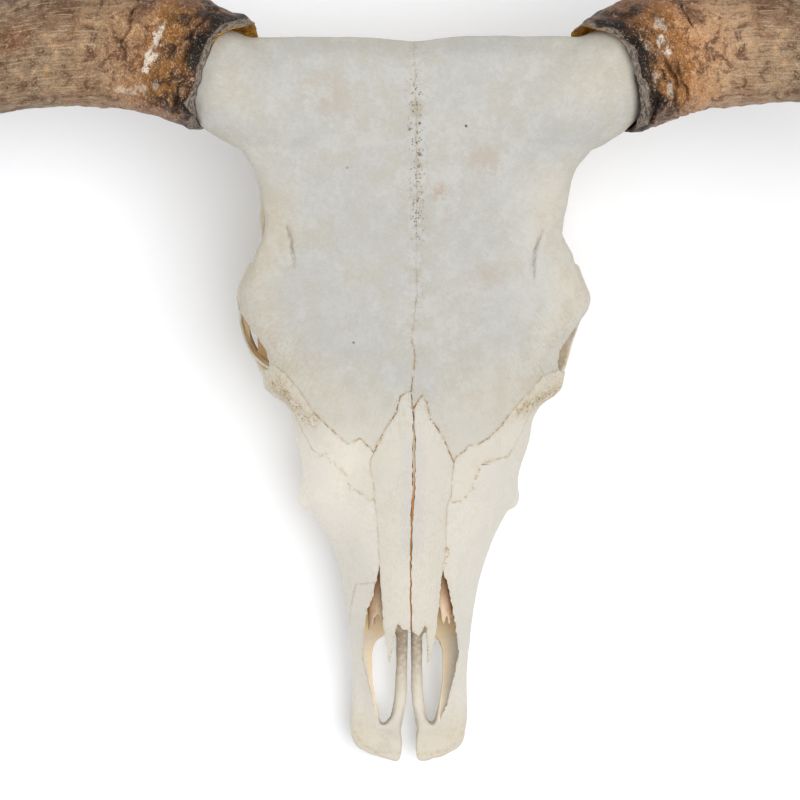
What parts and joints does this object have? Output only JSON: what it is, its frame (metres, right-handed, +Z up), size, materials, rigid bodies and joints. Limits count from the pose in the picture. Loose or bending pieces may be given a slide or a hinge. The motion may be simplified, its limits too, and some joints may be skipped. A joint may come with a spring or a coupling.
{
  "type": "bull skull",
  "caption": "Life-size bleached bull skull without lower jaw, resting on its cheek teeth, with hollow-based horn sheaths over bony cores.",
  "frame": {"origin": "middle of the skull's bounding box, in the plane that it rests on", "axes": "+X toward the animal's left horn, +Y from the nose to the poll, +Z up from the teeth to the forehead"},
  "size_m": [1.0642, 0.527, 0.3745],
  "materials": {
    "forehead_bone": "matt bleached bone, cool grey-white with faint stains",
    "nose_bone": "matt bleached bone",
    "cheek_bone": "matt bone, warm cream, finely porous",
    "jaw_bone": "matt bone, warm cream",
    "braincase_bone": "matt bone, cream to tan",
    "horn": "brown horn with lengthwise grain, worn, half gloss"
  },
  "bodies": {
    "root": {"braincase": "braincase_bone", "frontal_left": "forehead_bone", "frontal_right": "forehead_bone", "nasal_left": "nose_bone", "nasal_right": "nose_bone", "lacrimal_left": "cheek_bone", "lacrimal_right": "cheek_bone", "zygomatic_left": "cheek_bone", "zygomatic_right": "cheek_bone", "maxilla_left": "jaw_bone", "maxilla_right": "jaw_bone", "premaxilla_left": "jaw_bone", "premaxilla_right": "jaw_bone", "horn_sheath_left": "horn", "horn_sheath_right": "horn"}
  },
  "joints": []
}
